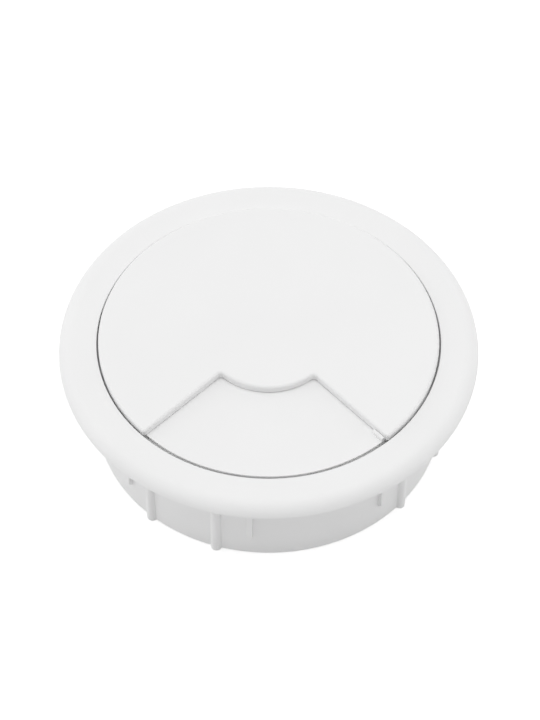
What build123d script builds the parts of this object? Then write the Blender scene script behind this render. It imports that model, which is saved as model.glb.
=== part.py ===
from build123d import *

import os
from math import cos, radians, sin, sqrt, tan

# Round cable grommet for a desk, in three mouldings. The flanged liner drops into the hole, the notched
# cover clips into the liner and turns in it, and the shutter swings under the cover to close the notch.
# Millimetres. The origin is on the axis at the desk's surface, +Z is up, and the notch faces -Y.

# Hole in the desk
desk_hole_diameter = 80.0
rib_clearance = 0.05  # from the beads' crests to the hole, right under the flange

# Flange of the liner
flange_overhang = 6.1  # past the hole's edge
flange_thickness = 3.0
flange_edge_land = 0.2  # upright strip left under the rounded edge

# Sleeve of the liner
sleeve_depth = 23.4
sleeve_wall = 1.75
sleeve_draft = 0.5  # degrees, outside
bore_draft = 0.25  # degrees, inside
sleeve_end_chamfer = 0.25
bore_chamfer = 0.3

# Seat under the cover's skirt and the shutter's tip, on a lip that the clips hook under
lip_overhang = 2.2
lip_thickness = 1.4
seat_width = 2.75
rim_edge_chamfer = 0.1

# Ribs on the sleeve: pairs of tall half-round beads, and short fins between them
bead_pair_count = 4
bead_first_angle = -119.35  # degrees from +X to the middle of the first pair
bead_pair_angle = 24.3
bead_width = 2.4  # at the wall
bead_projection = 1.0
fin_count = 8
fin_first_angle = -96.1  # degrees from +X
fin_width = 1.4
fin_projection = 0.95
fin_length = 17.1
fin_run_out = 0.7
fin_edge_chamfer = 0.15

# Cover
cover_gap = 0.4  # all round, to the rim
cover_thickness = 1.7
cover_rise = 1.0  # above the flange
cover_edge_radius = 0.6

# Notch in the cover: straight walls, a little outside the radial lines, and an arc about the axis
notch_angle = -91.4  # degrees from +X
notch_half_angle = 43.5
notch_wall_offset = 0.41
notch_inner_radius = 14.22
notch_corner_radius = 1.0
notch_mouth_radius = 0.7

# Hollow split pin under the cover, which snaps through the shutter's hub
pin_diameter = 8.0
pin_wall = 1.5
pin_barb = 0.6
pin_barb_land = 0.4
pin_barb_height = 1.8
pin_tip_inset = 0.4
pin_slot_width = 1.4
pin_slot_root = 0.6

# Skirt and clips under the cover, on the arc that the shutter never sweeps
skirt_width = 1.5
skirt_margin = 6.0  # degrees kept clear at the ends of that arc
clip_count = 3
clip_arc = 16.0  # degrees
clip_wall = 1.2
clip_clearance = 0.15
clip_play = 0.1  # under the lip
clip_hook = 0.5
clip_hook_land = 0.4
clip_tail = 2.3
clip_lead_in = 0.25

# Shutter
shutter_play = 0.2  # under the cover
shutter_thickness = 1.4
shutter_tip_gap = 1.2  # to the rim
shutter_tip_bevel = 1.0  # under the tip
shutter_seat_gap = 0.15  # above the seat
shutter_overlap = 1.3  # past the notch's walls
shutter_corner_radius = 1.0
hub_diameter = 14.0
hub_drop = 1.2
hub_root_radius = 3.0
pin_clearance = 0.06

# Fingertip tab on the shutter, beside the notch's right wall
tab_clearance = 0.05
tab_width = 0.85
tab_length = 3.1
tab_height = 0.9
tab_nose_radius = 0.55
tab_edge_chamfer = 0.12

# Sizes and heights that follow
flange_radius = desk_hole_diameter / 2 + flange_overhang
flange_edge_radius = flange_thickness - flange_edge_land
sleeve_top_radius = desk_hole_diameter / 2 - rib_clearance - bead_projection
sleeve_slope = tan(radians(sleeve_draft))
sleeve_bottom_radius = sleeve_top_radius - sleeve_depth * sleeve_slope
bead_radius = ((bead_width / 2) ** 2 + bead_projection**2) / (2 * bead_projection)
plate_bottom = flange_thickness + cover_rise - cover_thickness
shutter_top = plate_bottom - shutter_play
shutter_bottom = shutter_top - shutter_thickness
seat_height = shutter_bottom - shutter_seat_gap
lip_bottom = seat_height - lip_thickness
bore_top_radius = sleeve_top_radius - sleeve_wall
bore_bottom_radius = bore_top_radius + (sleeve_depth + lip_bottom) * tan(radians(bore_draft))
lip_radius = bore_top_radius - lip_overhang
rim_radius = lip_radius + seat_width
cover_radius = rim_radius - cover_gap
shutter_radius = rim_radius - shutter_tip_gap
hub_bottom = shutter_bottom - hub_drop
pin_radius = pin_diameter / 2
pin_bottom = hub_bottom - pin_barb_height
clip_outer_radius = lip_radius - clip_clearance
clip_hook_top = lip_bottom - clip_play
clip_bottom = clip_hook_top - clip_tail

# Angles about the notch's middle: half of the shutter, its full swing, and the arc left for the skirt
shutter_side_offset = notch_wall_offset + shutter_overlap
shutter_half_angle = notch_half_angle + shutter_side_offset / radians(1) / shutter_radius
shutter_swing = 2 * notch_half_angle
clear_arc = 360 - 2 * shutter_half_angle - shutter_swing
skirt_first_angle = notch_angle + shutter_half_angle + skirt_margin
skirt_arc = clear_arc - 2 * skirt_margin
clip_pitch = (skirt_arc - clip_arc) / (clip_count - 1)


def notch_plane(height):
    """Level plane whose X axis runs along the middle of the notch."""
    middle = radians(notch_angle)
    return Plane(origin=(0, 0, height), x_dir=(cos(middle), sin(middle), 0), z_dir=(0, 0, 1))


def upright_plane(angle):
    """Plane through the axis at an angle from +X, with X outwards and Y up."""
    turn = radians(angle)
    return Plane(origin=(0, 0, 0), x_dir=(cos(turn), sin(turn), 0), z_dir=(sin(turn), -cos(turn), 0))


def wall_point(along, offset, side):
    """Point beside the notch's wall direction, on its right (side 1) or left (side -1)."""
    slant = radians(notch_half_angle)
    x = along * cos(slant) - offset * sin(slant)
    y = along * sin(slant) + offset * cos(slant)
    return (x, side * y)


def reach_at(radius, offset):
    """Distance along a line that passes the axis at an offset, out to a radius."""
    return sqrt(radius**2 - offset**2)


# One tall bead, a round bar that leans along the sleeve's wall, on +X, cut level with the sleeve's end
with BuildPart() as bead:
    bead_middle = sleeve_bottom_radius + bead_projection - bead_radius
    with BuildSketch(Plane(origin=(bead_middle, 0, -sleeve_depth), z_dir=(sleeve_slope, 0, 1))):
        Circle(bead_radius)
    extrude(amount=sleeve_depth + flange_thickness / 2, both=True)
    split(bisect_by=Plane.XY.offset(-sleeve_depth), keep=Keep.TOP)

# One short fin on +X, which runs out into the wall at its lower end
with BuildPart() as fin:
    fin_root = sleeve_bottom_radius - sleeve_wall / 2
    fin_crest = sleeve_top_radius + fin_projection
    with BuildSketch(Plane.XZ):
        with BuildLine():
            Polyline(
                (fin_root, 0),
                (fin_crest, 0),
                (fin_crest - (fin_length - fin_run_out) * sleeve_slope, fin_run_out - fin_length),
                (sleeve_top_radius - fin_length * sleeve_slope, -fin_length),
                (fin_root, -fin_length),
                close=True,
            )
        make_face()
    extrude(amount=fin_width / 2, both=True)
    fin_side_edges = fin.edges().filter_by(Plane.XZ).filter_by(Axis.X, reverse=True)
    fin_crest_edges = fin_side_edges.filter_by(lambda edge: edge.center().X > sleeve_bottom_radius)
    chamfer(fin_crest_edges, fin_edge_chamfer)

# Liner: flange and sleeve, the ribs, then the bore and the cover's seat cut out of it
with BuildPart() as liner:
    with BuildSketch(Plane.XZ) as outside:
        with BuildLine():
            Polyline(
                (0, -sleeve_depth),
                (sleeve_bottom_radius, -sleeve_depth),
                (sleeve_top_radius, 0),
                (flange_radius, 0),
                (flange_radius, flange_thickness),
                (0, flange_thickness),
                close=True,
            )
        make_face()
        flange_corner = outside.vertices().sort_by_distance((flange_radius, flange_thickness))[0]
        fillet(flange_corner, flange_edge_radius)
        sleeve_corner = outside.vertices().sort_by_distance((sleeve_bottom_radius, -sleeve_depth))[0]
        chamfer(sleeve_corner, sleeve_end_chamfer)
    revolve(axis=Axis.Z)
    for side in (-1, 1):
        with PolarLocations(0, bead_pair_count, start_angle=bead_first_angle + side * bead_pair_angle / 2):
            add(bead.part)
    with PolarLocations(0, fin_count, start_angle=fin_first_angle):
        add(fin.part)
    with BuildSketch(Plane.XZ) as inside:
        with BuildLine():
            Polyline(
                (0, -sleeve_depth),
                (bore_bottom_radius + bore_chamfer, -sleeve_depth),
                (bore_bottom_radius, bore_chamfer - sleeve_depth),
                (bore_top_radius, lip_bottom),
                (lip_radius, lip_bottom),
                (lip_radius, seat_height),
                (rim_radius, seat_height),
                (rim_radius, flange_thickness - rim_edge_chamfer),
                (rim_radius + rim_edge_chamfer, flange_thickness),
                (0, flange_thickness),
                close=True,
            )
        make_face()
    revolve(axis=Axis.Z, mode=Mode.SUBTRACT)

# Cover: notched plate that stands a little above the flange, the split pin, the skirt and the clips
with BuildPart() as cover:
    with BuildSketch(notch_plane(plate_bottom)) as plate:
        Circle(cover_radius)
        with BuildLine():
            notch_start = reach_at(notch_inner_radius, notch_wall_offset)
            notch_end = reach_at(rim_radius, notch_wall_offset)
            right_wall = Line(
                wall_point(notch_start, notch_wall_offset, 1),
                wall_point(notch_end, notch_wall_offset, 1),
            )
            left_wall = Line(
                wall_point(notch_start, notch_wall_offset, -1),
                wall_point(notch_end, notch_wall_offset, -1),
            )
            ThreePointArc(right_wall @ 1, (rim_radius, 0), left_wall @ 1)
            ThreePointArc(left_wall @ 0, (notch_inner_radius, 0), right_wall @ 0)
        make_face(mode=Mode.SUBTRACT)
        fillet(plate.vertices().sort_by_distance((0, 0))[:2], notch_corner_radius)
        fillet(plate.vertices().sort_by_distance((0, 0))[-2:], notch_mouth_radius)
    extrude(amount=cover_thickness)
    fillet(cover.faces().sort_by(Axis.Z)[-1].outer_wire().edges(), cover_edge_radius)
    with BuildSketch(Plane.XZ):
        with BuildLine():
            Polyline(
                (pin_radius - pin_wall, plate_bottom),
                (pin_radius, plate_bottom),
                (pin_radius, hub_bottom),
                (pin_radius + pin_barb, hub_bottom),
                (pin_radius + pin_barb, hub_bottom - pin_barb_land),
                (pin_radius - pin_tip_inset, pin_bottom),
                (pin_radius - pin_wall, pin_bottom),
                close=True,
            )
        make_face()
    revolve(axis=Axis.Z)
    pin_slot_length = 2 * (pin_radius + 2 * pin_barb)
    pin_slot_depth = plate_bottom - pin_slot_root - pin_bottom
    with Locations(notch_plane(pin_bottom)):
        for size in ((pin_slot_length, pin_slot_width), (pin_slot_width, pin_slot_length)):
            Box(*size, pin_slot_depth, align=(Align.CENTER, Align.CENTER, Align.MIN), mode=Mode.SUBTRACT)
    with BuildSketch(upright_plane(skirt_first_angle)):
        with BuildLine():
            Polyline(
                (cover_radius - skirt_width, seat_height),
                (cover_radius, seat_height),
                (cover_radius, plate_bottom),
                (cover_radius - skirt_width, plate_bottom),
                close=True,
            )
        make_face()
    revolve(axis=Axis.Z, revolution_arc=skirt_arc)
    for index in range(clip_count):
        with BuildSketch(upright_plane(skirt_first_angle + index * clip_pitch)):
            with BuildLine():
                Polyline(
                    (clip_outer_radius - clip_wall, plate_bottom),
                    (clip_outer_radius, plate_bottom),
                    (clip_outer_radius, clip_hook_top),
                    (clip_outer_radius + clip_hook, clip_hook_top),
                    (clip_outer_radius + clip_hook, clip_hook_top - clip_hook_land),
                    (clip_outer_radius - clip_lead_in, clip_bottom),
                    (clip_outer_radius - clip_wall, clip_bottom),
                    close=True,
                )
            make_face()
        revolve(axis=Axis.Z, revolution_arc=clip_arc)

# Shutter: sector blade with its hub, and the fingertip tab
with BuildPart() as shutter:
    with BuildSketch(notch_plane(shutter_bottom)) as blade:
        with BuildLine():
            blade_reach = reach_at(shutter_radius, shutter_side_offset)
            apex = (-shutter_side_offset / sin(radians(notch_half_angle)), 0)
            right_side = Line(apex, wall_point(blade_reach, shutter_side_offset, 1))
            left_side = Line(apex, wall_point(blade_reach, shutter_side_offset, -1))
            ThreePointArc(right_side @ 1, (shutter_radius, 0), left_side @ 1)
        make_face()
        Circle(hub_diameter / 2)
        fillet(blade.vertices().sort_by_distance((0, 0))[:2], hub_root_radius)
        fillet(blade.vertices().sort_by_distance((0, 0))[-2:], shutter_corner_radius)
    extrude(amount=shutter_thickness)
    with BuildSketch(Plane.XZ):
        with BuildLine():
            Polyline(
                (shutter_radius - shutter_tip_bevel, shutter_bottom),
                (shutter_radius + shutter_tip_bevel, shutter_bottom),
                (shutter_radius + shutter_tip_bevel, shutter_bottom + 2 * shutter_tip_bevel),
                close=True,
            )
        make_face()
    revolve(axis=Axis.Z, mode=Mode.SUBTRACT)
    with BuildSketch(notch_plane(hub_bottom)):
        Circle(hub_diameter / 2)
    extrude(amount=hub_drop)
    with Locations((0, 0, shutter_top)):
        Hole(pin_radius + pin_clearance)
    with BuildSketch(notch_plane(shutter_top)) as tab:
        with BuildLine():
            tab_start = reach_at(shutter_radius, notch_wall_offset) - tab_length
            tab_outer = notch_wall_offset - tab_clearance
            tab_inner = tab_outer - tab_width
            Polyline(
                wall_point(tab_start, tab_inner, 1),
                wall_point(shutter_radius, tab_inner, 1),
                wall_point(shutter_radius, tab_outer, 1),
                wall_point(tab_start, tab_outer, 1),
                close=True,
            )
        make_face()
        fillet(tab.vertices().sort_by_distance(wall_point(tab_start, tab_inner, 1))[0], tab_nose_radius)
        Circle(shutter_radius, mode=Mode.INTERSECT)
    extrude(amount=tab_height)
    chamfer(shutter.faces().sort_by(Axis.Z)[-1].outer_wire().edges(), tab_edge_chamfer)

os.makedirs("parts", exist_ok=True)
liner.part.label = "liner"
export_step(liner.part, "parts/liner.step")
cover.part.label = "cover"
export_step(cover.part, "parts/cover.step")
shutter.part.label = "shutter"
export_step(shutter.part, "parts/shutter.step")
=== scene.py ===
import math

import bpy
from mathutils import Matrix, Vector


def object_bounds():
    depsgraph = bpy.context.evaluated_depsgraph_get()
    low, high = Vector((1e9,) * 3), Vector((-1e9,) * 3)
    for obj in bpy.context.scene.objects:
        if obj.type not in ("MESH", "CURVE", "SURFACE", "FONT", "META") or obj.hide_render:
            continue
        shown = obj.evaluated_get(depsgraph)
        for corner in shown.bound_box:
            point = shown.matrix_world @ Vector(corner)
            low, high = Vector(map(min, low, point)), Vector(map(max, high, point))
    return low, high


# White cable grommet on a white floor: the three mouldings of the frame in procedural plastic.
# Metres, in the frame's own axes. The notch faces -Y, and the camera stands on that side.

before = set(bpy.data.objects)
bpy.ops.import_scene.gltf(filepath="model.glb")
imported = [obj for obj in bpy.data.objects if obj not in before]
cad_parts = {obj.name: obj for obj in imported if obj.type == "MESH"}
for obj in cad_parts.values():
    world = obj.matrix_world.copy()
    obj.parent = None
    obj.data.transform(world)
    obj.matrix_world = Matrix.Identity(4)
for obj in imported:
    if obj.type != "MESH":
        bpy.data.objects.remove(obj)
cad_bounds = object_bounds()

# Camera: place and lens as worked out from the photograph
CAMERA_DISTANCE = 0.644
CAMERA_AZIMUTH = -90  # degrees from +X
CAMERA_ELEVATION = 51.516  # degrees
CAMERA_CLIP_START = 0.01
SENSOR_HEIGHT = 36.0  # mm
IMAGE_HEIGHT_PX = 720
FOCAL_PX = 2928.4
ORIGIN_OFFSET_PX = (-1.315, -12.648)  # where the origin shows, right and down from the picture's centre

# Plastic: how far its colour and roughness wander, and the sizes of its marks
PLASTIC_COLOUR = (0.87, 0.87, 0.87)
COLOUR_DRIFT = 0.006
ROUGHNESS = 0.45
ROUGHNESS_DRIFT = 0.04
FLOW_MARK_SIZE = 0.02
FLOW_MARK_DETAIL = 3.0
WAVE_SIZE = 0.004
WAVE_DETAIL = 1.0
WAVE_HEIGHT = 0.000002
GRAIN_SIZE = 0.00025
GRAIN_DETAIL = 2.0
GRAIN_HEIGHT = 0.000003
NOISE_RANGE = (0.3, 0.7)  # where nearly all values of a noise texture lie

# Light: soft lobes in the sky, each with its azimuth from +X and its elevation in degrees, its falloff
# (more is narrower) and its strength
SKY_LOBES = {
    "high_right": (0, 68, 8.0, 1.22),
    "high_left": (180, 68, 8.0, 1.03),
    "high_front": (-90, 68, 8.0, 1.08),
    "low_right": (0, 14, 6.0, 0.97),
    "low_rear_right": (45, 14, 6.0, 0.82),
    "low_rear": (90, 14, 6.0, 0.38),
    "low_rear_left": (135, 14, 6.0, 0.75),
    "low_left": (180, 14, 6.0, 1.36),
    "low_front_left": (-130, 14, 6.0, 0.43),
    "low_front_right": (-50, 14, 6.0, 0.31),
}
SKY_SEEN = 1.0  # strength of the sky where it is seen, directly or mirrored, which is white

# Floor: its colour, and a glow where it is seen, directly or mirrored, which brings it up to white
FLOOR_COLOUR = (0.8, 0.8, 0.8)
FLOOR_GLOW = 0.45
FLOOR_HALF_SIZE = 4.0


def direction_of(azimuth, elevation):
    """Unit vector towards an azimuth and an elevation in degrees."""
    turn = math.radians(azimuth)
    rise = math.radians(elevation)
    return (math.cos(rise) * math.cos(turn), math.cos(rise) * math.sin(turn), math.sin(rise))


def math_node(tree, operation, first, second):
    """Add a Math node; each operand is a number or a socket."""
    node = tree.nodes.new("ShaderNodeMath")
    node.operation = operation
    for index, operand in enumerate((first, second)):
        if isinstance(operand, bpy.types.NodeSocket):
            tree.links.new(operand, node.inputs[index])
        else:
            node.inputs[index].default_value = operand
    return node.outputs[0]


def seen_by_camera(tree):
    """Socket that is 1 for what the camera sees, also in a mirror or through glass."""
    path = tree.nodes.new("ShaderNodeLightPath")
    rays = path.outputs
    mirrored = math_node(tree, "MAXIMUM", rays["Is Glossy Ray"], rays["Is Transmission Ray"])
    return math_node(tree, "MAXIMUM", rays["Is Camera Ray"], mirrored)


def add_camera():
    """Camera on the notch's side, turned to the origin and shifted to the photograph's framing."""
    data = bpy.data.cameras.new("camera")
    data.sensor_fit = "VERTICAL"
    data.sensor_height = SENSOR_HEIGHT
    data.lens = FOCAL_PX * SENSOR_HEIGHT / IMAGE_HEIGHT_PX
    data.shift_x = -ORIGIN_OFFSET_PX[0] / IMAGE_HEIGHT_PX
    data.shift_y = ORIGIN_OFFSET_PX[1] / IMAGE_HEIGHT_PX
    data.clip_start = CAMERA_CLIP_START
    camera = bpy.data.objects.new("camera", data)
    towards = direction_of(CAMERA_AZIMUTH, CAMERA_ELEVATION)
    camera.location = [CAMERA_DISTANCE * part for part in towards]
    camera.rotation_euler = (math.radians(90 - CAMERA_ELEVATION), 0, math.radians(90 + CAMERA_AZIMUTH))
    bpy.context.scene.collection.objects.link(camera)
    bpy.context.scene.camera = camera


def noise(tree, place, size, detail):
    """Noise texture with features of a size in metres."""
    texture = tree.nodes.new("ShaderNodeTexNoise")
    texture.inputs["Scale"].default_value = 1 / size
    texture.inputs["Detail"].default_value = detail
    tree.links.new(place, texture.inputs["Vector"])
    return texture.outputs["Fac"]


def spread(tree, fac, low, high):
    """Map a noise value to the range from low to high."""
    ramp = tree.nodes.new("ShaderNodeMapRange")
    ramp.inputs["From Min"].default_value = NOISE_RANGE[0]
    ramp.inputs["From Max"].default_value = NOISE_RANGE[1]
    ramp.inputs["To Min"].default_value = low
    ramp.inputs["To Max"].default_value = high
    tree.links.new(fac, ramp.inputs["Value"])
    return ramp.outputs["Result"]


def bump(tree, height, depth, under=None):
    """Bump of a depth in metres, alone or on top of another bump."""
    node = tree.nodes.new("ShaderNodeBump")
    node.inputs["Distance"].default_value = depth
    tree.links.new(height, node.inputs["Height"])
    if under:
        tree.links.new(under, node.inputs["Normal"])
    return node.outputs["Normal"]


def white_plastic(name, shift):
    """Satin moulded plastic: faint flow marks, slow waves and a fine grain, shifted from piece to piece."""
    material = bpy.data.materials.new(name)
    material.use_nodes = True
    tree = material.node_tree
    shader = tree.nodes["Principled BSDF"]
    coordinates = tree.nodes.new("ShaderNodeTexCoord")
    mapping = tree.nodes.new("ShaderNodeMapping")
    mapping.inputs["Location"].default_value = (shift, shift, shift)
    tree.links.new(coordinates.outputs["Object"], mapping.inputs["Vector"])
    place = mapping.outputs["Vector"]

    flow = noise(tree, place, FLOW_MARK_SIZE, FLOW_MARK_DETAIL)
    colours = tree.nodes.new("ShaderNodeMix")
    colours.data_type = "RGBA"
    colours.inputs["A"].default_value = (*[channel - COLOUR_DRIFT for channel in PLASTIC_COLOUR], 1)
    colours.inputs["B"].default_value = (*[channel + COLOUR_DRIFT for channel in PLASTIC_COLOUR], 1)
    tree.links.new(spread(tree, flow, 0, 1), colours.inputs["Factor"])
    tree.links.new(colours.outputs["Result"], shader.inputs["Base Color"])

    waves = noise(tree, place, WAVE_SIZE, WAVE_DETAIL)
    roughness = spread(tree, waves, ROUGHNESS - ROUGHNESS_DRIFT, ROUGHNESS + ROUGHNESS_DRIFT)
    tree.links.new(roughness, shader.inputs["Roughness"])

    grain = noise(tree, place, GRAIN_SIZE, GRAIN_DETAIL)
    wavy = bump(tree, waves, WAVE_HEIGHT)
    tree.links.new(bump(tree, grain, GRAIN_HEIGHT, wavy), shader.inputs["Normal"])
    return material


def add_floor():
    """Matt floor under the part, which takes its shadow and reads as white."""
    low = cad_bounds[0][2]
    size = FLOOR_HALF_SIZE
    mesh = bpy.data.meshes.new("floor")
    corners = [(-size, -size, low), (size, -size, low), (size, size, low), (-size, size, low)]
    mesh.from_pydata(corners, [], [(0, 1, 2, 3)])
    floor = bpy.data.objects.new("floor", mesh)
    bpy.context.scene.collection.objects.link(floor)
    material = bpy.data.materials.new("floor_white")
    material.use_nodes = True
    tree = material.node_tree
    shader = tree.nodes["Principled BSDF"]
    shader.inputs["Base Color"].default_value = (*FLOOR_COLOUR, 1)
    shader.inputs["Roughness"].default_value = 1.0
    shader.inputs["Specular IOR Level"].default_value = 0.0
    shader.inputs["Emission Color"].default_value = (1, 1, 1, 1)
    glow = math_node(tree, "MULTIPLY", seen_by_camera(tree), FLOOR_GLOW)
    tree.links.new(glow, shader.inputs["Emission Strength"])
    mesh.materials.append(material)


def add_world():
    """Sky that lights by its soft lobes and is plain white where it is seen."""
    world = bpy.data.worlds.new("studio")
    world.use_nodes = True
    tree = world.node_tree
    coordinates = tree.nodes.new("ShaderNodeTexCoord")
    light = 0.0
    for azimuth, elevation, falloff, strength in SKY_LOBES.values():
        facing = tree.nodes.new("ShaderNodeVectorMath")
        facing.operation = "DOT_PRODUCT"
        facing.inputs[1].default_value = direction_of(azimuth, elevation)
        tree.links.new(coordinates.outputs["Generated"], facing.inputs[0])
        front = math_node(tree, "MAXIMUM", facing.outputs["Value"], 0)
        lobe = math_node(tree, "MULTIPLY", math_node(tree, "POWER", front, falloff), strength)
        light = math_node(tree, "ADD", lobe, light)
    background = tree.nodes["Background"]
    background.inputs["Color"].default_value = (1, 1, 1, 1)
    mixed = tree.nodes.new("ShaderNodeMix")
    mixed.inputs["B"].default_value = SKY_SEEN
    tree.links.new(seen_by_camera(tree), mixed.inputs["Factor"])
    tree.links.new(light, mixed.inputs["A"])
    tree.links.new(mixed.outputs["Result"], background.inputs["Strength"])
    bpy.context.scene.world = world


add_camera()
add_floor()
add_world()
for index, (name, node) in enumerate(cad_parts.items()):
    node.data.materials.clear()
    node.data.materials.append(white_plastic(f"{name}_plastic", index * FLOW_MARK_SIZE))

bpy.context.scene.view_settings.view_transform = "Standard"
